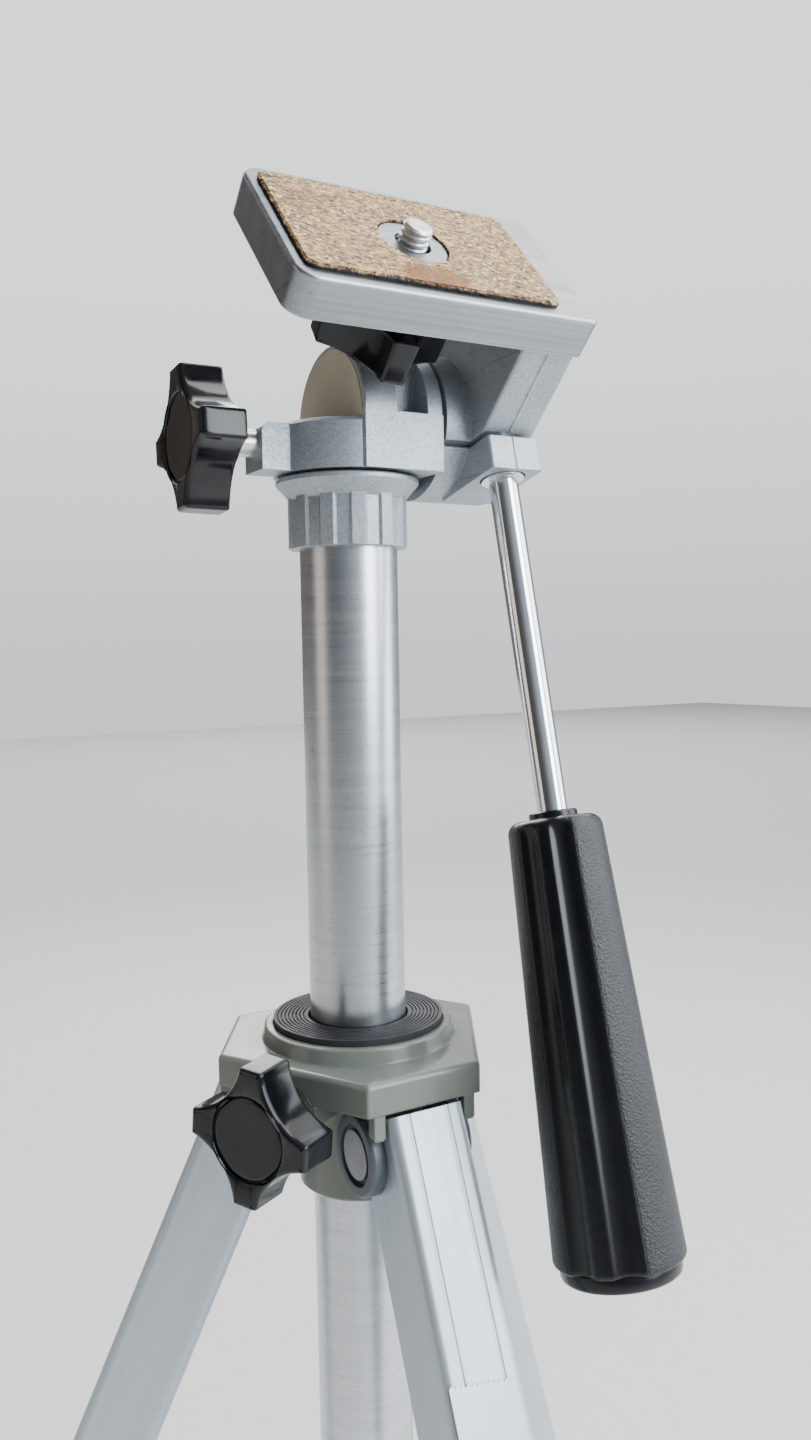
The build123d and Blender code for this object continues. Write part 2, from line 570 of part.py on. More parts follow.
def leg_lever(outer, collar_top, length):
    """Flip lever: cam barrel on two trunnions, and a paddle that lies along the collar."""
    pivot_x = lever_axis(outer)
    pivot_z = collar_top - 7
    body = bar_y(2.7, -6.1, 6.1, x=pivot_x, z=pivot_z) + bar_y(1.5, -9.0, 9.0, x=pivot_x, z=pivot_z)
    body += box(pivot_x - 1.9, pivot_x + 1.3, -6.1, 6.1, pivot_z - 6, pivot_z)
    paddle = box(pivot_x - 1.9, pivot_x + 1.3, -9.2, 9.2, pivot_z - length, pivot_z - 4.2)
    paddle = fillet(paddle.edges().filter_by(Axis.X), 2.2)
    return body + paddle


def foot():
    """Rubber foot, drawn along the leg and cut level with the floor after it is placed."""
    half = 9.0
    x = TUBE_OFFSET
    body = box(x - half, x + half, -half, half, -LEG_LENGTH - 8, LOWER_END + 6)
    body = fillet(body.edges().filter_by(Axis.Z), 3.5)
    body = chamfer(body.faces().sort_by(Axis.Z)[-1].edges(), 1.0)
    hold = LOWER / 2
    return body - box(x - hold, x + hold, -hold, hold, LOWER_END, LOWER_END + 10)


def save_leg(side, azimuth):
    """Write the twelve pieces of one leg at the rest spread."""
    place = Rot(0, 0, azimuth) * Pos(HINGE_R, 0, HINGE_Z) * Rot(0, -SPREAD, 0)
    upper_inside = TUBE - 2 * TUBE_WALL
    middle_inside = MIDDLE - 2 * MIDDLE_WALL
    lower_inside = LOWER - 2 * LOWER_WALL
    pieces = {
        "leg_head": leg_head(),
        "leg_pin": leg_pin(),
        "upper_tube": upper_tube(),
        "upper_lock": leg_lock(TUBE, MIDDLE, TUBE_END + 26, TUBE_END, TUBE_END - 14),
        "upper_lever": leg_lever(TUBE, TUBE_END + 26, 33),
        "middle_glide": glide(upper_inside, middle_inside, MIDDLE_TOP),
        "middle_tube": middle_tube(),
        "lower_lock": leg_lock(MIDDLE, LOWER, MIDDLE_END + 20, MIDDLE_END, MIDDLE_END - 12),
        "lower_lever": leg_lever(MIDDLE, MIDDLE_END + 20, 28),
        "lower_glide": glide(middle_inside, lower_inside, LOWER_TOP),
        "lower_tube": lower_tube(),
        "foot": foot(),
    }
    floor = box(-400, 400, -400, 400, -60, 0)
    for name, piece in pieces.items():
        placed = place * piece
        save(f"{side}_{name}", placed - floor if name == "foot" else placed)


save("head_base", head_base())
save("pan_body", pan_body())
save("pan_lock_screw", pan_lock_screw())
save("pan_knob", pan_knob())
save("blank_label", blank_label())
save("tilt_trunnion", tilt_trunnion())
save("trunnion_screw", trunnion_screw())
save("tilt_bracket", tilted(tilt_bracket()))
save("clamp_jaw", along_handle(clamp_jaw()))
save("camera_platform", tilted(camera_platform()))
save("platform_screws", Compound([tilted(screw) for screw in platform_screws()]))
save("cork_pad", tilted(cork_pad()))
save("camera_screw", tilted(camera_screw()))
save("screw_knob", tilted(screw_knob()))
save("handle_rod", along_handle(handle_rod()))
save("handle_grip", along_handle(handle_grip()))
save("grip_end_cap", along_handle(grip_end_cap()))
save("center_column", center_column())
save("column_end_cap", column_end_cap())
save("canopy", canopy())
save("rubber_ring", rubber_ring())
save("leg_spider", leg_spider())
save("column_lock_screw", column_lock_screw())
save("column_lock_knob", column_lock_knob())
for side, azimuth in LEG_AZIMUTH.items():
    save_leg(side, azimuth)
print(f"hinge height {HINGE_Z:.3f}, ring top {RING_Z:.3f}, tilt axis {TILT_Z:.3f}")
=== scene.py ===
"""Looks of a camera tripod with a pan and tilt head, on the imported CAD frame."""
from math import atan2, cos, hypot, pi, radians, sin, tau
import bpy
import numpy as np
from mathutils import Matrix, Vector, noise


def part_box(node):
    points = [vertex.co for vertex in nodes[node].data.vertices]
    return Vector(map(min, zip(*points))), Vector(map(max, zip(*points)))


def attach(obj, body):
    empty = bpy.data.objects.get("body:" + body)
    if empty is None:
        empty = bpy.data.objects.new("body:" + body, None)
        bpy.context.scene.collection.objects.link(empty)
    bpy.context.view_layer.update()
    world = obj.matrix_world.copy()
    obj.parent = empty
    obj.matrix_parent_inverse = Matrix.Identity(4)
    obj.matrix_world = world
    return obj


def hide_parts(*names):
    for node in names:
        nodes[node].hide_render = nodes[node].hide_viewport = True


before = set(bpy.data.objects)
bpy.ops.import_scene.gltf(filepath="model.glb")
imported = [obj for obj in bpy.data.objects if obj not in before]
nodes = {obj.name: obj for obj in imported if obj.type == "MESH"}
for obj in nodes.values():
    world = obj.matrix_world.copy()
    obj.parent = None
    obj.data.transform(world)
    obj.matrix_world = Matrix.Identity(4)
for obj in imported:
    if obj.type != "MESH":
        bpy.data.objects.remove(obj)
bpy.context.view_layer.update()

# ---------------------------------------------------------------- places, from the frame
MM = 0.001
REST = radians(46.95)        # the platform's tilt at rest
LEAN = radians(13.3)         # the handle from the vertical at rest
SPREAD = radians(23.2)       # the legs from the vertical
LEGS = {"front": 270, "right": 30, "left": 150}


def middle(node):
    low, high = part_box(node)
    return (low + high) / 2


ring_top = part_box("rubber_ring")[1].z
tilt_z = middle("tilt_trunnion").z
pan_screw_z = middle("pan_lock_screw").z
hinge_z = ring_top - 23.2 * MM
HINGE_R = 20.6 * MM
SCREW_PLACE = (-1.2, -1.4)   # camera screw on the plate, mm
PLATE_TOP = 43.3             # plate's top above the tilt axis, mm
PLATE_SCREWS = {"near": (29.5, -9.0), "far": (29.5, 9.0)}    # the plate's own two screws, mm
LEG_FACE = 14.0              # a leg's outer face from the hinge axis, mm
LEG_GROOVE_DEPTH = 0.3

level = Matrix.Translation((0, 0, tilt_z)) @ Matrix.Rotation(REST, 4, "X")
screw_axis = level @ Matrix.Translation((SCREW_PLACE[0] * MM, SCREW_PLACE[1] * MM, 0))
handle = (Matrix.Translation((0, 0, tilt_z)) @ Matrix.Rotation(-LEAN, 4, "X")
          @ Matrix.Translation((29.5 * MM, -15.1 * MM, 0)))


def on_leg(azimuth):
    """Place of a piece drawn with x outward, y across and z up the leg, from the hinge axis."""
    return (Matrix.Rotation(radians(azimuth), 4, "Z") @ Matrix.Translation((HINGE_R, 0, hinge_z))
            @ Matrix.Rotation(-SPREAD, 4, "Y"))


# ---------------------------------------------------------------- shader nodes
def put(tree, kind, sockets=None, **attributes):
    """Adds a shader node. sockets maps an input's name or number to a number, colour or output."""
    made = tree.nodes.new("ShaderNode" + kind)
    for key, value in attributes.items():
        setattr(made, key, value)
    for key, value in (sockets or {}).items():
        if isinstance(value, bpy.types.NodeSocket):
            tree.links.new(value, made.inputs[key])
        else:
            made.inputs[key].default_value = value
    return made


def new_material(name, metallic=0.0, **sockets):
    material = bpy.data.materials.new(name)
    material.use_nodes = True
    tree = material.node_tree
    shader = tree.nodes["Principled BSDF"]
    shader.inputs["Metallic"].default_value = metallic
    for key, value in sockets.items():
        shader.inputs[key.replace("_", " ")].default_value = value
    return material, tree, shader


def place(tree, turns=()):
    """Object coordinates, turned about Z, Y or X in the order given."""
    vector = put(tree, "TexCoord").outputs["Object"]
    for axis, angle in turns:
        rotation = [angle if axis == a else 0 for a in "XYZ"]
        vector = put(tree, "Mapping", {"Vector": vector, "Rotation": rotation}).outputs[0]
    return vector


def stretch(tree, vector, scale):
    return put(tree, "Mapping", {"Vector": vector, "Scale": scale}).outputs[0]


def noisy(tree, vector, scale, detail=2.0, rough=0.5):
    sockets = {"Vector": vector, "Scale": scale, "Detail": detail, "Roughness": rough}
    return put(tree, "TexNoise", sockets).outputs["Fac"]


def span(tree, value, low, high, to_low=0.0, to_high=1.0):
    return put(tree, "MapRange", {0: value, 1: low, 2: high, 3: to_low, 4: to_high}).outputs[0]


def blend(tree, amount, first, second, mode="MIX"):
    """Colour mix. first and second are colours or outputs."""
    mixer = put(tree, "Mix", data_type="RGBA", blend_type=mode)
    for key, value in ((0, amount), (6, first), (7, second)):
        if isinstance(value, bpy.types.NodeSocket):
            tree.links.new(value, mixer.inputs[key])
        else:
            mixer.inputs[key].default_value = value if key == 0 else (*value, 1)
    return mixer.outputs[2]


def sums(tree, operation, first, second):
    return put(tree, "Math", {0: first, 1: second}, operation=operation).outputs[0]


def dot(tree, first, second):
    return put(tree, "VectorMath", {0: first, 1: second}, operation="DOT_PRODUCT").outputs["Value"]


def product(tree, *factors):
    total = factors[0]
    for factor in factors[1:]:
        total = sums(tree, "MULTIPLY", total, factor)
    return total


def mixed(tree, first, share, second):
    """A sum of two values: share of the first and the rest of the second."""
    return sums(tree, "ADD", product(tree, first, share), product(tree, second, 1 - share))


def bump(tree, height, distance, strength, normal=None):
    sockets = {"Height": height, "Distance": distance, "Strength": strength}
    if normal is not None:
        sockets["Normal"] = normal
    return put(tree, "Bump", sockets).outputs[0]


def soft_edges(tree, radius):
    """Normal that rounds edges over radius."""
    return put(tree, "Bevel", {"Radius": radius}, samples=4).outputs[0]


def edge_mask(tree, radius):
    """1 on convex and concave edges, 0 on open faces."""
    face = put(tree, "NewGeometry").outputs["Normal"]
    return span(tree, dot(tree, soft_edges(tree, radius), face), 0.995, 0.88)


def scratches(tree, vector, scale, share=0.03, turns=3):
    """Short straight scratches in a few directions: 1 on a scratch. share is roughly their cover."""
    total = None
    for k in range(turns):
        turned = put(tree, "Mapping", {
            "Vector": vector, "Rotation": (0.9 * k + 0.3, 1.3 * k + 0.2, 2.1 * k + 0.5),
            "Location": (0.37 * k, 0.11 * k, 0.23 * k),
            "Scale": (scale, scale * 0.03, scale * 0.45)}).outputs[0]
        line = put(tree, "TexNoise", {"Vector": turned, "Scale": 1.0, "Detail": 0.0}).outputs["Fac"]
        line = span(tree, line, 0.8 - 2 * share, 0.86 - 2 * share)
        total = line if total is None else sums(tree, "MAXIMUM", total, line)
    return total


def wire(tree, shader, colour=None, rough=None, normal=None):
    for key, value in (("Base Color", colour), ("Roughness", rough), ("Normal", normal)):
        if value is not None:
            tree.links.new(value, shader.inputs[key])


# ---------------------------------------------------------------- materials
def casting():
    """Fine sparkling silver paint on a die casting."""
    material, tree, shader = new_material("silver_casting", 0.6)
    base = place(tree)
    flakes = put(tree, "TexVoronoi", {"Vector": base, "Scale": 3200.0})
    brightness = put(tree, "SeparateColor", {0: flakes.outputs["Color"]}).outputs[0]
    sparkle = span(tree, brightness, 0.0, 1.0, 0.84, 1.16)
    patches = span(tree, noisy(tree, base, 90.0, 3.0), 0.3, 0.7, 0.93, 1.05)
    tint = blend(tree, noisy(tree, base, 45.0, 2.0), (0.335, 0.37, 0.405), (0.39, 0.42, 0.45))
    colour = blend(tree, 1.0, tint, product(tree, sparkle, patches), "MULTIPLY")
    broken = span(tree, noisy(tree, base, 260.0, 3.0), 0.45, 0.62)
    colour = blend(tree, product(tree, edge_mask(tree, 0.4 * MM), broken, 0.55), colour, (0.66, 0.68, 0.7))
    grime = product(tree, span(tree, noisy(tree, base, 140.0, 5.0, 0.65), 0.56, 0.75), 0.35)
    colour = blend(tree, grime, colour, (0.22, 0.22, 0.22))
    marks = product(tree, scratches(tree, base, 2400.0, 0.015), 0.5)
    colour = blend(tree, marks, colour, (0.2, 0.2, 0.21))
    normal = bump(tree, noisy(tree, base, 1900.0, 2.0), 0.03 * MM, 0.5, soft_edges(tree, 0.3 * MM))
    rough = span(tree, noisy(tree, base, 2400.0, 1.0), 0.3, 0.7, 0.4, 0.52)
    wire(tree, shader, colour, rough, normal)
    return material


def in_grooves(tree, base):
    """1 inside the two lines along a leg's outer face. base is in the leg's directions."""
    parts = put(tree, "SeparateXYZ", {0: base})
    hinge = Matrix.Rotation(SPREAD, 3, "Y") @ Vector((HINGE_R, 0, hinge_z))
    outward = sums(tree, "SUBTRACT", parts.outputs[0], hinge.x)
    below_face = span(tree, outward, (LEG_FACE - 0.04) * MM, (LEG_FACE - 0.01) * MM, 1.0, 0.0)
    floor = LEG_FACE - LEG_GROOVE_DEPTH
    above_floor = span(tree, outward, (floor - 0.2) * MM, (floor - 0.1) * MM)
    across = put(tree, "Math", {0: parts.outputs[1]}, operation="ABSOLUTE").outputs[0]
    near = span(tree, across, 5.4 * MM, 5.6 * MM, 1.0, 0.0)
    return product(tree, below_face, above_floor, near)


def machined(name, colour_a, colour_b, lines, rough, turns=(), metallic=1.0, marks=0.0, edge=0.0,
             painted_light_grooves=False):
    """Aluminium with fine lines. lines is the noise scale along X, Y and Z: low along the lines."""
    material, tree, shader = new_material(name, metallic)
    base = place(tree, turns)
    fine = noisy(tree, stretch(tree, base, lines), 1.0, 3.0, 0.6)
    broad = noisy(tree, stretch(tree, base, [v * 0.12 for v in lines]), 1.0, 2.0)
    colour = blend(tree, span(tree, mixed(tree, fine, 0.55, broad), 0.33, 0.67), colour_a, colour_b)
    smudge = noisy(tree, base, 38.0, 4.0, 0.6)
    colour = blend(tree, span(tree, smudge, 0.55, 0.8, 0.0, 0.22), colour, [0.8 * v for v in colour_a])
    if marks:
        nicks = scratches(tree, base, 2600.0, 0.02)
        colour = blend(tree, product(tree, nicks, marks), colour, (0.16, 0.16, 0.17))
    if edge:
        colour = blend(tree, product(tree, edge_mask(tree, 0.5 * MM), edge), colour, (0.93, 0.93, 0.92))
    # Painted light: the leg's grooves get a pale, non-metallic colour that lifts the shade falling in them.
    if painted_light_grooves:
        groove = in_grooves(tree, base)
        colour = blend(tree, groove, colour, (0.86, 0.9, 0.94))
        tree.links.new(span(tree, groove, 0.0, 1.0, metallic, 0.0), shader.inputs["Metallic"])
    roughness = span(tree, mixed(tree, fine, 0.6, smudge), 0.3, 0.7, *rough)
    normal = bump(tree, fine, 0.012 * MM, 0.5, soft_edges(tree, 0.35 * MM))
    wire(tree, shader, colour, roughness, normal)
    return material


def moulded(name, colour_a, colour_b, rough, grain=0.0, grain_scale=900.0, dust=0.0, scuffs=0.0, shine=0.5,
            edge=0.35):
    """Moulded plastic: slight colour drift, dust specks, scuffs and fine surface grain."""
    material, tree, shader = new_material(name, 0.0, Specular_IOR_Level=shine)
    base = place(tree)
    drift = noisy(tree, base, 55.0, 4.0, 0.6)
    colour = blend(tree, span(tree, drift, 0.3, 0.7), colour_a, colour_b)
    roughness = span(tree, noisy(tree, base, 120.0, 5.0, 0.65), 0.3, 0.7, *rough)
    if scuffs:
        lines = scratches(tree, base, 2800.0, 0.035, 4)
        rubbed = span(tree, noisy(tree, base, 210.0, 5.0, 0.7), 0.6, 0.75)
        colour = blend(tree, product(tree, lines, scuffs), colour, [1.6 * v + 0.05 for v in colour_b])
        roughness = sums(tree, "ADD", roughness, product(tree, sums(tree, "MAXIMUM", lines, rubbed), 0.18))
    if dust:
        specks = put(tree, "TexVoronoi", {"Vector": base, "Scale": 1300.0}).outputs["Distance"]
        specks = span(tree, specks, 0.08, 0.16, 1.0, 0.0)
        up = put(tree, "SeparateXYZ", {0: put(tree, "NewGeometry").outputs["Normal"]}).outputs[2]
        settled = span(tree, noisy(tree, base, 130.0, 3.0), 0.45, 0.65)
        where = product(tree, settled, span(tree, up, -0.5, 0.9, 0.25, 1.0))
        film = product(tree, where, dust, 0.12)
        mask = sums(tree, "ADD", product(tree, specks, where, dust), film)
        colour = blend(tree, mask, colour, (0.42, 0.4, 0.36))
        roughness = sums(tree, "ADD", roughness, product(tree, mask, 0.5))
    rounded = soft_edges(tree, edge * MM)
    normal = bump(tree, noisy(tree, base, grain_scale, 3.0), grain * MM, 0.6, rounded) if grain else rounded
    wire(tree, shader, colour, roughness, normal)
    return material


def bent_place(tree, base, scale, detail, reach):
    """base pushed about by reach, so that cells drawn in it have uneven borders."""
    warp = put(tree, "TexNoise", {"Vector": base, "Scale": scale, "Detail": detail}).outputs["Color"]
    push = put(tree, "VectorMath", {0: warp, "Scale": reach}, operation="SCALE").outputs[0]
    return put(tree, "VectorMath", {0: base, 1: push}, operation="ADD").outputs[0]


def leather_grain():
    """Black plastic with a moulded pebble grain."""
    material, tree, shader = new_material("grip_grain")
    base = place(tree)
    bent = bent_place(tree, base, 1100.0, 2.0, 0.6 * MM)
    cells = put(tree, "TexVoronoi", {"Vector": bent, "Scale": 1900.0, "Smoothness": 0.45},
                feature="SMOOTH_F1").outputs["Distance"]
    small = noisy(tree, base, 3300.0, 2.0)
    height = sums(tree, "SUBTRACT", product(tree, small, 0.35), cells)
    drift = span(tree, noisy(tree, base, 60.0, 4.0), 0.35, 0.7)
    colour = blend(tree, drift, (0.006, 0.007, 0.010), (0.011, 0.012, 0.016))
    rough = span(tree, mixed(tree, cells, 0.6, noisy(tree, base, 90.0, 4.0)), 0.2, 0.6, 0.36, 0.52)
    wire(tree, shader, colour, rough, bump(tree, height, 0.1 * MM, 0.9))
    return material


def cork_board():
    """Pressed cork: tan, brown and nearly black grains with small bright flecks, worn at two places."""
    material, tree, shader = new_material("cork", Specular_IOR_Level=0.35)
    base = place(tree)
    bent = bent_place(tree, base, 900.0, 3.0, 0.9 * MM)
    long_grains = stretch(tree, bent, (0.75, 1.25, 1.0))
    grains = put(tree, "TexVoronoi", {"Vector": long_grains, "Scale": 1650.0, "Randomness": 1.0})
    pick = put(tree, "SeparateColor", {0: grains.outputs["Color"]})
    ramp = put(tree, "ValToRGB", {0: pick.outputs[0]})
    stops = ((0.0, (0.018, 0.014, 0.022)), (0.16, (0.065, 0.04, 0.03)), (0.28, (0.25, 0.135, 0.055)),
             (0.5, (0.39, 0.215, 0.072)),
             (0.8, (0.57, 0.355, 0.135)), (1.0, (0.95, 0.70, 0.34)))
    while len(ramp.color_ramp.elements) < len(stops):
        ramp.color_ramp.elements.new(0.5)
    for element, (where, colour) in zip(ramp.color_ramp.elements, stops):
        element.position, element.color = where, (*colour, 1)
    colour = ramp.outputs[0]
    fine = noisy(tree, base, 2400.0, 3.0, 0.7)
    colour = blend(tree, span(tree, fine, 0.4, 0.75, 0.0, 0.3), colour, (0.54, 0.33, 0.14))
    flecks = span(tree, noisy(tree, base, 2100.0, 2.0), 0.59, 0.66, 0.0, 0.9)
    colour = blend(tree, flecks, colour, (0.045, 0.042, 0.06))
    grey = span(tree, noisy(tree, base, 75.0, 3.0), 0.4, 0.62, 0.0, 0.1)
    colour = blend(tree, grey, colour, (0.30, 0.225, 0.165))
    split = put(tree, "SeparateXYZ", {0: base})

    def patch(x, y, rx, ry):
        """1 inside a ragged oval on the pad."""
        dx = sums(tree, "DIVIDE", sums(tree, "SUBTRACT", split.outputs[0], x * MM), rx * MM)
        dy = sums(tree, "DIVIDE", sums(tree, "SUBTRACT", split.outputs[1], y * MM), ry * MM)
        square = sums(tree, "ADD", product(tree, dx, dx), product(tree, dy, dy))
        torn = span(tree, noisy(tree, base, 420.0, 4.0, 0.7), 0.25, 0.75, -0.5, 0.5)
        ragged = sums(tree, "ADD", square, torn)
        return span(tree, ragged, 0.75, 1.15, 1.0, 0.0)

    colour = blend(tree, product(tree, patch(-1.5, -14.4, 8.0, 3.6), 0.8),
                   colour, blend(tree, pick.outputs[1], (0.08, 0.025, 0.004), (0.36, 0.135, 0.02)))
    colour = blend(tree, product(tree, patch(-21.5, 5.5, 4.5, 6.0), 0.45), colour, (0.22, 0.11, 0.055))
    # Painted shade: the pad's side turns nearly black towards the plate, in the crease where it sits on it.
    waver = span(tree, noisy(tree, base, 900.0, 3.0), 0.3, 0.7, -0.25 * MM, 0.25 * MM)
    low = span(tree, sums(tree, "ADD", split.outputs[2], waver),
               (PLATE_TOP + 0.55) * MM, (PLATE_TOP + 0.75) * MM, 1.0, 0.0)
    colour = blend(tree, low, colour, (0.022, 0.015, 0.016))
    height = sums(tree, "ADD", product(tree, pick.outputs[2], 0.6), product(tree, fine, 0.6))
    rough = span(tree, pick.outputs[1], 0.0, 1.0, 0.3, 0.8)
    wire(tree, shader, colour, rough, bump(tree, height, 0.14 * MM, 0.9))
    return material


def plated(name, colour, rough, bumps, lines, spots):
    """Plated or turned steel. spots is how much darker its hazy spots are."""
    material, tree, shader = new_material(name, 1.0)
    base = place(tree)
    fine = noisy(tree, stretch(tree, base, lines), 1.0, 3.0)
    haze = noisy(tree, base, 150.0, 5.0, 0.65)
    darker = [v * (1 - spots) for v in colour]
    shade = blend(tree, span(tree, haze, 0.5, 0.72), colour, darker)
    roughness = span(tree, mixed(tree, fine, 0.4, haze), 0.35, 0.68, *rough)
    wire(tree, shader, shade, roughness, bump(tree, fine, bumps * MM, 0.4, soft_edges(tree, 0.2 * MM)))
    return material


silver = casting()
plate_metal = machined("brushed_plate", (0.245, 0.27, 0.30), (0.385, 0.41, 0.445), (18, 1500, 1500), (0.26, 0.4),
                       marks=0.35, edge=0.6)
column_metal = machined("column_satin", (0.50, 0.535, 0.57), (0.64, 0.665, 0.69), (60, 60, 2600), (0.26, 0.36),
                        marks=0.3)
leg_metal = {side: machined(f"leg_anodised_{side}", (0.42, 0.475, 0.53), (0.52, 0.575, 0.62), (1100, 1100, 7),
                            (0.36, 0.5), turns=(("Z", -radians(azimuth)), ("Y", SPREAD)), metallic=0.75,
                            marks=0.12, edge=0.35, painted_light_grooves=True)
             for side, azimuth in LEGS.items()}
DEEP_BLACK = ((0.003, 0.0035, 0.005), (0.005, 0.006, 0.008))
gloss_black = moulded("knob_black", *DEEP_BLACK, (0.07, 0.16), dust=0.1, shine=0.38, edge=0.5)
flute_black = moulded("grip_smooth", *DEEP_BLACK, (0.2, 0.3), dust=0.04, shine=0.38, grain=0.01)
grain_black = leather_grain()
matt_black = moulded("moulded_black", (0.010, 0.010, 0.012), (0.018, 0.018, 0.020), (0.38, 0.55), grain=0.03,
                     dust=0.12, scuffs=0.2)
olive = moulded("olive_plastic", (0.145, 0.162, 0.14), (0.175, 0.19, 0.163), (0.13, 0.25), grain=0.01,
                grain_scale=300.0, dust=0.06, edge=0.7)
slate = moulded("slate_plastic", (0.07, 0.088, 0.105), (0.09, 0.11, 0.13), (0.36, 0.5), grain=0.02, dust=0.12,
                scuffs=0.25)
black_rubber = moulded("black_rubber", (0.010, 0.011, 0.014), (0.022, 0.024, 0.03), (0.5, 0.72), grain=0.05,
                       grain_scale=1600.0, dust=0.45, edge=0.15)
paper = moulded("label_paper", (0.40, 0.34, 0.26), (0.50, 0.44, 0.34), (0.6, 0.8), grain=0.03,
                grain_scale=2500.0, edge=0.05)
clear_tape = machined("aged_tape", (0.40, 0.45, 0.48), (0.47, 0.52, 0.55), (700, 700, 300), (0.24, 0.36),
                      metallic=0.45, edge=0.5)
chrome = plated("chrome", (0.80, 0.81, 0.83), (0.06, 0.16), 0.002, (300, 300, 40), 0.15)
zinc = plated("zinc", (0.62, 0.63, 0.61), (0.26, 0.42), 0.01, (900, 900, 900), 0.3)
turned_steel = plated("turned_steel", (0.42, 0.42, 0.43), (0.25, 0.4), 0.01, (3000, 300, 300), 0.35)
pin_satin = plated("pin_satin", (0.34, 0.34, 0.35), (0.42, 0.55), 0.01, (800, 800, 800), 0.2)


# ---------------------------------------------------------------- mesh making
def piece(name, rings, body, material, matrix, replaces=(), caps=(True, True), sharp=32, closed=True,
          chooser=None):
    """A skin through rings of points in mm, placed by matrix.

    chooser picks a face's material from its centre, and sharp is the angle from which an edge stays hard.
    """
    count = len(rings[0])
    points = np.concatenate([np.asarray(ring, float).reshape(-1, 3) for ring in rings]) * MM
    faces = []
    sides = count if closed else count - 1
    for j in range(len(rings) - 1):
        for i in range(sides):
            a, b = j * count + i, j * count + (i + 1) % count
            faces.append((a, b, b + count, a + count))
    last = (len(rings) - 1) * count
    if caps[0]:
        faces.append(tuple(range(count - 1, -1, -1)))
    if caps[1]:
        faces.append(tuple(range(last, last + count)))
    mesh = bpy.data.meshes.new(name)
    mesh.from_pydata(points.tolist(), [], faces)
    mesh.validate()
    materials = material if isinstance(material, (list, tuple)) else [material]
    for m in materials:
        mesh.materials.append(m)
    mesh.polygons.foreach_set("use_smooth", [True] * len(mesh.polygons))
    if chooser:
        for polygon in mesh.polygons:
            polygon.material_index = chooser(polygon.center / MM)
    mesh.update()
    mesh.set_sharp_from_angle(angle=radians(sharp))
    made = bpy.data.objects.new(name, mesh)
    bpy.context.scene.collection.objects.link(made)
    made.matrix_world = matrix
    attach(made, body)
    if replaces:
        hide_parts(*replaces)
    return made


def circle(radius, z, angles):
    return [(radius * cos(a), radius * sin(a), z) for a in angles]


def circles(profile, angles):
    """One ring per (radius, z)."""
    return [circle(radius, z, angles) for radius, z in profile]


def even(count, start=0.0):
    return [start + tau * k / count for k in range(count)]


def smooth_loop(corners, count, reach):
    """A closed outline through corners, resampled evenly by length and rounded over about reach mm."""
    corners = np.asarray(corners, float)
    ends = np.roll(corners, -1, 0)
    lengths = np.hypot(*(ends - corners).T)
    along = np.concatenate([[0], np.cumsum(lengths)])
    at = np.linspace(0, along[-1], count, endpoint=False)
    loop = np.concatenate([corners, corners[:1]])
    points = np.stack([np.interp(at, along, loop[:, k]) for k in (0, 1)], 1)
    width = max(1, int(round(reach / along[-1] * count / 2)))
    weight = np.hanning(2 * width + 3)[1:-1]
    weight /= weight.sum()
    return sum(w * np.roll(points, k - width, 0) for k, w in enumerate(weight))


def inset(outline, distance):
    """The outline moved inward along its own normals."""
    tangent = np.roll(outline, -1, 0) - np.roll(outline, 1, 0)
    tangent /= np.hypot(*tangent.T)[:, None]
    return outline - distance * np.stack([tangent[:, 1], -tangent[:, 0]], 1)


def flat(outline, z):
    return [(x, y, z) for x, y in outline]


def round_corners(x0, x1, y0, y1, corner, count):
    """Points of a rectangle with rounded corners, count to a corner."""
    points = []
    middles = ((x1 - corner, y1 - corner), (x0 + corner, y1 - corner),
               (x0 + corner, y0 + corner), (x1 - corner, y0 + corner))
    for k, (cx, cy) in enumerate(middles):
        angles = np.linspace(0, pi / 2, count) + k * pi / 2
        points += [(cx + corner * cos(a), cy + corner * sin(a)) for a in angles]
    return points


# ---------------------------------------------------------------- knobs
def star_outline(radius, count=384):
    """Four flat lobe ends joined by hollow flanks."""
    half, waist = 0.2 * radius, 0.47 * radius
    centre = (radius ** 2 + half ** 2 - 2 * waist ** 2) / (2 * (radius + half - 2 * waist))
    reach = hypot(radius - centre, half - centre)
    corners = []
    for k in range(4):
        turn = Matrix.Rotation(k * pi / 2, 2)
        start, end = atan2(half - centre, radius - centre), atan2(radius - centre, half - centre)
        if end > start:
            end -= tau
        steps = [start + (end - start) * j / 24 for j in range(25)]
        for p in [(radius, -half)] + [(centre + reach * cos(a), centre + reach * sin(a)) for a in steps]:
            corners.append(turn @ Vector(p))
    return smooth_loop(corners, count, 2.2)


def star_knob(name, radius, hub, body, matrix, node, thick=9.8):
    """Glossy knob: hub, chamfered back, drafted flanks, rounded front edge and a dished disc in a groove."""
    outline = star_outline(radius)
    angles = [atan2(y, x) for x, y in outline]
    rings = circles(((3.1, -hub), (4.9, -hub), (5.3, -hub + 0.4), (5.4, -0.2), (5.8, 0.0)), angles)
    rings += [flat(inset(outline, d), z) for d, z in (
        (0.55, 0.0), (0.2, 0.12), (0.0, 0.45), (0.0, 0.9), (0.06, thick * 0.5), (0.12, thick - 1.2),
        (0.17, thick - 0.8), (0.32, thick - 0.42), (0.58, thick - 0.15), (0.95, thick - 0.02), (1.3, thick))]
    edge, floor = 0.61 * radius, thick - 0.95
    rings += circles((
        (edge + 0.35, thick - 0.02), (edge + 0.1, thick - 0.12), (edge, thick - 0.35), (edge - 0.05, floor),
        (edge - 0.35, floor), (edge - 0.42, thick - 0.62), (edge - 0.62, thick - 0.45),
        (edge - 1.2, thick - 0.42), (0.36 * radius, thick - 0.52), (0.2 * radius, thick - 0.57),
        (0.4, thick - 0.6)), angles)
    return piece(name, rings, body, gloss_black, matrix, (node,), sharp=50)


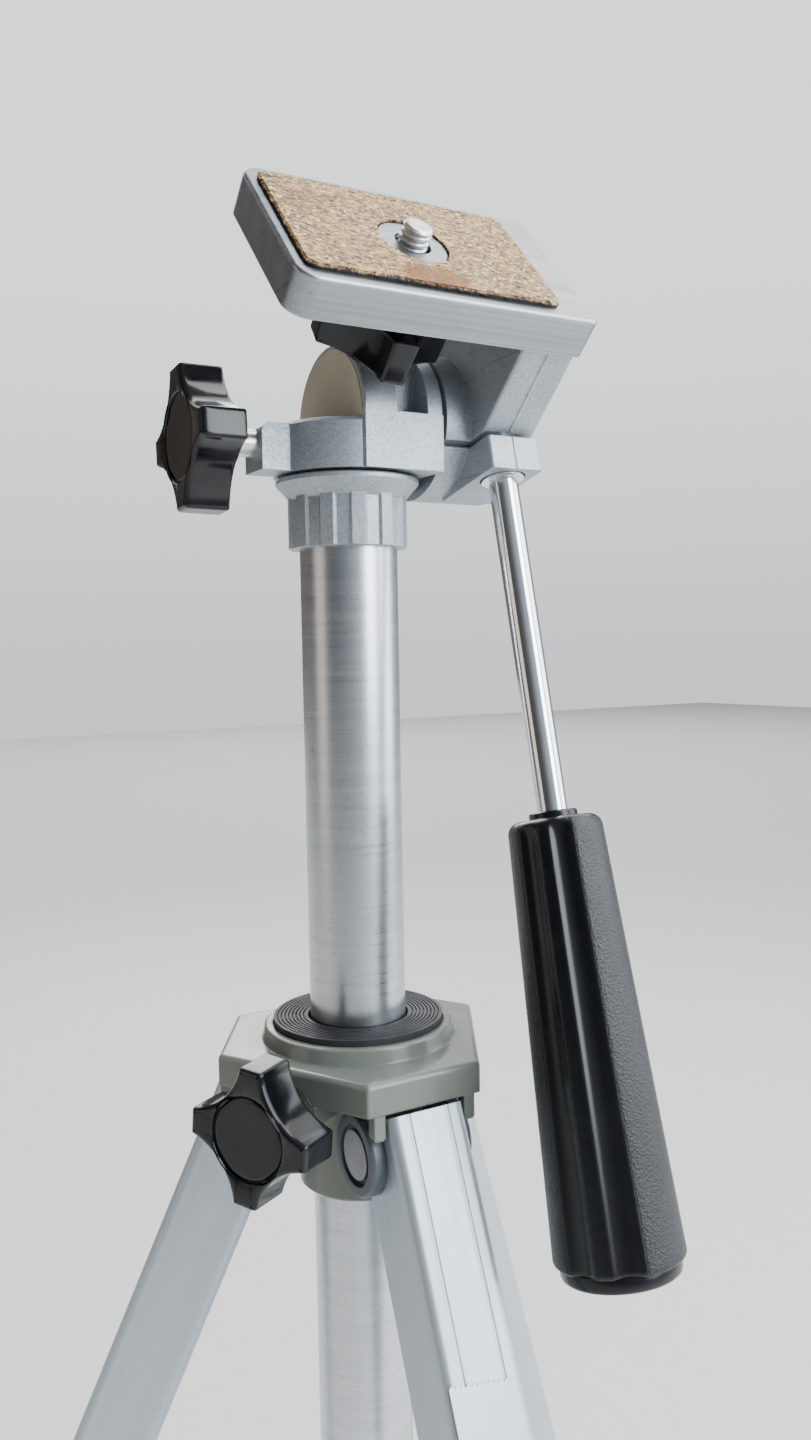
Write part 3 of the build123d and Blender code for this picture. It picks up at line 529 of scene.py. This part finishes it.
star_knob("pan_knob_shell", 15.2, 2.4, "pan_lock",
          Matrix.Translation((-29.6 * MM, 0, pan_screw_z)) @ Matrix.Rotation(-pi / 2, 4, "Y")
          @ Matrix.Rotation(radians(4), 4, "Z"), "pan_knob")
star_knob("column_knob_shell", 14.6, 3.0, "column_knob",
          Matrix.Rotation(radians(210), 4, "Z") @ Matrix.Translation((32.5 * MM, 0, ring_top - 14 * MM))
          @ Matrix.Rotation(pi / 2, 4, "Y") @ Matrix.Rotation(radians(-5), 4, "Z"), "column_lock_knob")
star_knob("camera_knob_shell", 14.2, 4.6, "camera_screw_set",
          level @ Matrix.Translation((SCREW_PLACE[0] * MM, SCREW_PLACE[1] * MM, 30.2 * MM))
          @ Matrix.Rotation(pi, 4, "X") @ Matrix.Rotation(radians(5), 4, "Z"), "screw_knob")


# ---------------------------------------------------------------- camera screw
def threaded_screw():
    """1/4 inch screw, 20 threads to the inch, with a plain shank and a retaining ring in the plate's seat."""
    pitch, major, depth, start, tip = 1.27, 3.15, 0.78, 42.75, 47.6
    angles = even(96)
    rings = circles(((3.1, 27.0), (3.1, 41.04), (3.55, 41.06), (3.6, 41.15), (3.6, 42.6), (3.5, 42.7),
                     (2.6, 42.72)), angles)
    for z in np.arange(start, tip + 0.001, pitch / 20):
        ring = []
        for a in angles:
            phase = (z / pitch - a / tau) % 1.0
            tooth = sin(pi * phase) ** 0.62
            lead = np.clip((z - start) / 0.6, 0, 1)
            radius = major - depth + depth * tooth * lead
            radius = min(radius, major - max(0.0, z - tip + 0.42) * 1.1)
            ring.append((radius * cos(a), radius * sin(a), z))
        rings.append(ring)
    rings += circles(((2.0, tip + 0.02), (1.2, tip - 0.03), (0.3, tip - 0.1)), angles)
    return piece("camera_screw_thread", rings, "camera_screw_set", zinc, screw_axis, ("camera_screw",), sharp=50)


threaded_screw()


# ---------------------------------------------------------------- cork pad
def cork_pad():
    """Pad with ragged, crumbled edges and a pitted top."""
    bottom, top, hole_radius = PLATE_TOP + 0.02, PLATE_TOP + 1.1, 7.6
    outline = smooth_loop(round_corners(-29.3, 27.4, -17.0, 16.4, 2.3, 7), 760, 0.2)
    centre = np.array(SCREW_PLACE)
    directions = outline - centre
    directions /= np.hypot(*directions.T)[:, None]
    hole = centre + hole_radius * directions

    def rough(points, z, sideways, lift):
        ring = []
        for x, y in points:
            p = Vector((x, y, z)) * 0.9
            out = Vector((x - centre[0], y - centre[1])).normalized()
            push = sideways * (noise.noise(p * 1.9) + 0.6 * noise.noise(p * 4.3 + Vector((9, 1, 4))))
            rise = lift * (noise.noise(p * 1.6 + Vector((3, 5, 7))) + 0.5 * noise.noise(p * 3.4))
            ring.append((x + push * out.x, y + push * out.y, z + rise))
        return ring

    rings = [flat(outline - 0.25 * directions, bottom)]
    rings += [rough(inset(outline, d), z, sideways, lift) for d, z, sideways, lift in (
        (0.2, bottom + 0.05, 0.1, 0.0), (0.05, bottom + 0.3, 0.26, 0.0), (0.12, bottom + 0.6, 0.34, 0.0),
        (0.32, top - 0.22, 0.34, 0.06), (0.6, top - 0.05, 0.24, 0.06))]
    for share in np.linspace(0.02, 0.98, 44):
        rings.append(rough(outline + (hole - outline) * share, top, 0.0, 0.06))
    rings += [rough(hole, z, sideways, lift) for z, sideways, lift in (
        (top - 0.05, 0.1, 0.05), (top - 0.3, 0.2, 0.03), (top - 0.6, 0.22, 0.0), (bottom + 0.1, 0.12, 0.0))]
    return piece("cork_pad_board", rings, "tilt_head", cork_board(), level, ("cork_pad",), caps=(False, False),
                 sharp=70)


cork_pad()


def screw_cover(name, x, y):
    """Thin disc over a screw of the plate, in world places so that the plate's lines run on in it."""
    radius = 3.75
    rings = [[tuple(level @ (Vector((px + x, py + y, z)) * MM) / MM) for px, py, _ in circle(radius, 0, even(64))]
             for z in (PLATE_TOP - 0.02, PLATE_TOP + 0.015)]
    piece(name, rings, "tilt_head", plate_metal, Matrix.Identity(4), caps=(False, True))


for end, (x, y) in PLATE_SCREWS.items():
    screw_cover(f"{end}_screw_cover", x, y)


# ---------------------------------------------------------------- handle grip
def grip():
    """Tapered grip with two pairs of smooth flutes in a pebbled skin, rounded at the top."""
    start, end, top_r, end_r = 93.5, 183.6, 9.9, 13.5
    panel = radians(218)
    flutes = [panel + pair * pi + side * radians(20.5) for pair in (0, 1) for side in (-1, 1)]
    count = 432
    angles = even(count)

    def away(a, b):
        return abs((a - b + pi) % tau - pi)

    def hollow(angle):
        deep = 0.0
        for f in flutes:
            share = away(angle, f) / radians(12.5)
            if share < 1:
                deep = max(deep, 1.05 * (1 - share ** 2) ** 0.75)
        return deep

    def is_grained(angle):
        return min(away(angle, panel), away(angle, panel + pi)) > radians(36.5)

    def evened(values, weights):
        """values round the grip, each averaged with its neighbours."""
        return np.convolve(np.r_[values[-3:], values, values[:3]], weights, "same")[3:-3]

    smooth = evened([hollow(a) for a in angles], np.array([1, 2, 3, 4, 3, 2, 1]) / 16)
    swell = evened([0.16 if is_grained(a) else 0.0 for a in angles], np.ones(5) / 5)
    rings = circles(((3.45, 1.5 - start), (4.8, 1.5 - start), (5.2, 1.2 - start), (5.3, 0.1 - start),
                     (5.7, -start)), angles)
    round_r = 2.6
    steps = [start + round_r * (1 - cos(t)) for t in np.linspace(0.12, pi / 2, 9)]
    steps += list(np.linspace(start + round_r + 1.2, end - 1.4, 40)) + [end - 0.9, end - 0.5, end - 0.2, end]
    for s in steps:
        base = top_r + (end_r - top_r) * (s - start) / (end - start)
        near = s - start
        if near < round_r:
            base -= round_r - (round_r ** 2 - (round_r - near) ** 2) ** 0.5
        if s > end - 0.9:
            base -= 0.75 * ((s - end + 0.9) / 0.9) ** 2
        fade = min(1.0, max(0.0, (near - 1.2) / 3.2))
        fade = (fade * (2 - fade)) ** 0.5
        radii = base - fade * smooth + swell
        rings.append([(r * cos(a), r * sin(a), -s) for a, r in zip(angles, radii)])
    rings.append(circle(12.3, -end, angles))

    def skin(centre):
        angle = atan2(centre.y, centre.x)
        return 1 if is_grained(angle) and start + 0.9 < -centre.z < end - 0.4 else 0

    piece("handle_grip_skin", rings, "handle", [flute_black, grain_black], handle, ("handle_grip",), sharp=40,
          chooser=skin)
    cap = [circle(r, -end - past, angles[::3]) for r, past in (
        (12.35, -0.3), (12.45, 0.05), (12.45, 1.9), (12.25, 2.5), (11.8, 2.85), (11.0, 3.0),
        (8.2, 3.0), (8.0, 2.6), (7.0, 2.5), (0.5, 2.5))]
    piece("grip_end_disc", cap, "handle", flute_black, handle, ("grip_end_cap",), sharp=40)


grip()

# ---------------------------------------------------------------- legs
def block_ring(x0, x1, half, z, corner, count=6):
    """Rounded rectangle in x and y at height z."""
    corner = min(corner, (x1 - x0) / 2 * 0.98, half * 0.98)
    return flat(round_corners(x0, x1, -half, half, corner, count), z)


def lever(side, which, pivot_x, pivot_z, length):
    """Flip lever: cam barrel, broad paddle with finger ribs and a curled tip."""
    rings = []
    for z, back, front, half in (
            (2.7, 0.3, 0.3, 5.4), (2.55, 1.0, 1.0, 5.9), (1.9, 1.8, 1.9, 6.1), (0.9, 1.9, 2.5, 6.1),
            (0.0, 1.9, 2.7, 6.1), (-1.2, 1.9, 2.4, 6.1), (-2.6, 1.9, 1.6, 6.1), (-4.0, 1.9, 1.35, 6.1)):
        rings.append(block_ring(pivot_x - back, pivot_x + front, half, pivot_z + z, 0.5))
    tip = -length
    paddle = [*np.linspace(-4.25, tip + 10.5, 8), *np.linspace(tip + 10, tip + 2.2, 30)]
    for z in paddle + [tip + 1.4, tip + 0.7, tip + 0.25, tip]:
        share = np.clip((z + 4.25) / 1.5, -1, 0)
        half = 9.2 - 0.35 * (1 + share) if z > -6 else 9.2
        late = np.clip((tip + 3.2 - z) / 3.2, 0, 1)
        half -= 2.6 * late ** 2.2
        out = 1.3 + (0.5 * max(0.0, sin((z - tip) * tau / 2.0)) if tip + 2.4 < z < tip + 9.6 else 0.0)
        rings.append(block_ring(pivot_x - 1.9 + 0.8 * late ** 2, pivot_x + out, half, pivot_z + z, 0.7))
    leg = f"{side}_{which}"
    piece(f"{leg}_lever_shell", rings, f"{leg}_flip", matt_black, on_leg(LEGS[side]), (f"{leg}_lever",), sharp=40)
    pin = [[(pivot_x + r * cos(a), y, pivot_z + r * sin(a)) for a in even(32)] for r, y in (
        (1.1, -9.3), (1.45, -9.1), (1.45, 9.1), (1.1, 9.3))]
    piece(f"{leg}_lever_pin", pin, f"{leg}_flip", pin_satin, on_leg(LEGS[side]), sharp=40)


def foot(side):
    """Rubber foot with shallow rings, its sole level with the floor."""
    matrix = on_leg(LEGS[side])
    down = matrix.to_3x3() @ Vector((0, 0, 1))
    centre, half, top = 5.0, 8.95, -434.0
    outline = np.array([p[:2] for p in block_ring(centre - half, centre + half, half, 0, 3.5, 12)])
    levels = [(0.0, 2.6), (0.0, 0.9), (0.02, 0.35), (0.06, 0.05)]
    for k in range(5):
        start = 0.14 + 0.13 * k
        levels += [(start, 0.0), (start + 0.015, 0.45), (start + 0.045, 0.45), (start + 0.06, 0.0)]
    levels += [(0.86, 0.0), (0.94, 0.12), (0.985, 0.45), (1.0, 0.9)]
    rings = []
    for share, sink in levels:
        ring = []
        for x, y in inset(outline, sink):
            upper = matrix @ Vector((x * MM, y * MM, top * MM))
            point = upper - down * (upper.z / down.z * share)
            ring.append((point.x / MM, point.y / MM, max(point.z, 0.0) / MM))
        rings.append(ring)
    piece(f"{side}_foot_shell", rings, f"{side}_lower", black_rubber, Matrix.Identity(4), (f"{side}_foot",),
          sharp=35)


LEVERS = {"upper": (19.5, -359.0, 33.0), "lower": (18.1, -403.0, 28.0)}    # pivot's x and z, and length
for side in LEGS:
    for which, (pivot_x, pivot_z, length) in LEVERS.items():
        lever(side, which, pivot_x, pivot_z, length)
    foot(side)


def tape():
    """Strip of aged clear tape with a serrated end, on the front leg's outer face."""
    teeth, left, width, under = 12, -8.1, 14.6, LEG_FACE + 0.06
    top, bottom = [], []
    for k in range(2 * teeth + 1):
        y = left + width * k / (2 * teeth)
        top.append((under, y, -44.6 - 0.19 * (y - left) + (0.7 if k % 2 else 0.0)))
        bottom.append((under, y, -76.0 - 0.1 * y - (0.45 if k % 2 else 0.0)))
    outer = [[(x + 0.05, y, z) for x, y, z in row] for row in (top, bottom)]
    piece("front_leg_tape", [top, outer[0], outer[1], bottom], "front_leg", clear_tape, on_leg(LEGS["front"]),
          caps=(False, False), sharp=30, closed=False)


tape()

# ---------------------------------------------------------------- materials of the CAD nodes that stay
finishes = {
    "head_base": silver, "pan_body": silver, "tilt_bracket": silver, "clamp_jaw": silver,
    "pan_lock_screw": zinc, "trunnion_screw": zinc, "platform_screws": zinc, "column_lock_screw": zinc,
    "blank_label": paper, "tilt_trunnion": turned_steel, "camera_platform": plate_metal, "handle_rod": chrome,
    "center_column": column_metal, "column_end_cap": matt_black, "canopy": olive, "leg_spider": olive,
    "rubber_ring": black_rubber,
}
for side in LEGS:
    finishes.update({
        f"{side}_leg_head": slate, f"{side}_leg_pin": pin_satin, f"{side}_upper_tube": leg_metal[side],
        f"{side}_middle_tube": leg_metal[side], f"{side}_lower_tube": leg_metal[side],
        f"{side}_upper_lock": olive, f"{side}_lower_lock": olive,
        f"{side}_middle_glide": matt_black, f"{side}_lower_glide": matt_black,
    })
for name, material in finishes.items():
    slots = nodes[name].material_slots
    for s in slots:
        s.link = "DATA"
        s.material = material
    if not slots:
        nodes[name].data.materials.append(material)

# ---------------------------------------------------------------- stage, light and camera
def surface_plane(name, size, material, matrix):
    mesh = bpy.data.meshes.new(name)
    half = size / 2
    corners = [(-half, -half, 0), (half, -half, 0), (half, half, 0), (-half, half, 0)]
    mesh.from_pydata(corners, [], [(0, 1, 2, 3)])
    mesh.materials.append(material)
    made = bpy.data.objects.new(name, mesh)
    bpy.context.scene.collection.objects.link(made)
    made.matrix_world = matrix


floor_material, floor_tree, floor_shader = new_material("pale_floor", Roughness=0.8)
floor_grain = span(floor_tree, noisy(floor_tree, place(floor_tree), 60.0, 4.0), 0.3, 0.7)
wire(floor_tree, floor_shader, blend(floor_tree, floor_grain, (0.66, 0.65, 0.63), (0.69, 0.68, 0.66)))
surface_plane("floor", 14.0, floor_material, Matrix.Identity(4))


def softbox(name, azimuth, elevation, distance, size, power, colour, target):
    """Area light round the target; azimuth 0 stands on the -Y side and 90 on the +X side."""
    a, e = radians(azimuth), radians(elevation)
    away = Vector((sin(a) * cos(e), -cos(a) * cos(e), sin(e)))
    data = bpy.data.lights.new(name, "AREA")
    data.shape, data.size, data.size_y = "RECTANGLE", size[0], size[1]
    data.energy, data.color = power, colour
    lamp = bpy.data.objects.new(name, data)
    bpy.context.scene.collection.objects.link(lamp)
    lamp.location = target + away * distance
    lamp.rotation_mode = "QUATERNION"
    lamp.rotation_quaternion = (-away).to_track_quat("-Z", "Y")


head = Vector((0, 0, ring_top + 60 * MM))
softbox("key_window", 24, 24, 1.6, (0.7, 1.5), 38, (0.90, 0.96, 1.0), head)
softbox("right_wash", 66, 18, 1.7, (1.1, 1.6), 30, (0.90, 0.96, 1.0), head)
softbox("top_sheen", 70, 60, 1.7, (1.0, 1.0), 22, (1.0, 0.98, 0.93), head)
softbox("left_warm", -100, 12, 1.8, (0.8, 1.4), 4, (1.0, 0.88, 0.76), head)
softbox("back_strip", 165, 34, 1.7, (0.6, 1.4), 14, (0.97, 0.99, 1.0), head)
softbox("floor_wash", 153, 89, 3.4, (6.5, 6.5), 330, (1.0, 0.99, 0.98), Vector((2.1, 4.2, 0.0)))

world = bpy.data.worlds.new("studio")
bpy.context.scene.world = world
world.use_nodes = True
sky = world.node_tree
direction = put(sky, "TexCoord").outputs["Generated"]
height = put(sky, "SeparateXYZ", {0: direction}).outputs[2]
side_light = dot(sky, direction, (0.62, -0.72, 0.3))
shade = dot(sky, direction, (-0.93, -0.1, 0.0))
warm_side = dot(sky, direction, (-0.45, 0.89, 0.0))
room = blend(sky, span(sky, side_light, -0.1, 0.95), (0.19, 0.195, 0.205), (0.62, 0.69, 0.78))
room = blend(sky, span(sky, warm_side, 0.5, 0.95, 0.0, 0.8), room, (0.20, 0.165, 0.135))
room = blend(sky, span(sky, shade, 0.35, 0.95, 0.0, 0.85), room, (0.06, 0.057, 0.055))
seen = put(sky, "LightPath").outputs["Is Camera Ray"]
backdrop = blend(sky, span(sky, height, -0.02, 0.3), (0.95, 0.97, 0.99), (1.5, 1.53, 1.57))
tone = blend(sky, seen, room, backdrop)
sky.nodes["Background"].inputs["Strength"].default_value = 1.0
sky.links.new(tone, sky.nodes["Background"].inputs["Color"])

camera_data = bpy.data.cameras.new("camera")
camera_data.lens = 28.1
camera_data.sensor_width = 36.0
camera_data.sensor_fit = "AUTO"
camera_data.clip_start = 0.01
camera = bpy.data.objects.new("camera", camera_data)
bpy.context.scene.collection.objects.link(camera)
azimuth, pitch, roll = radians(-29.68), radians(-3.66), radians(-1.02)
forward = Vector((-sin(azimuth) * cos(pitch), cos(azimuth) * cos(pitch), sin(pitch)))
right = Vector((cos(azimuth), sin(azimuth), 0))
up = right.cross(forward)
across = right * cos(roll) + up * sin(roll)
upward = up * cos(roll) - right * sin(roll)
turn = Matrix((across, upward, -forward)).transposed().to_4x4()
camera.matrix_world = Matrix.Translation((-116.2 * MM, -228.5 * MM, ring_top + 84.0 * MM)) @ turn
bpy.context.scene.camera = camera
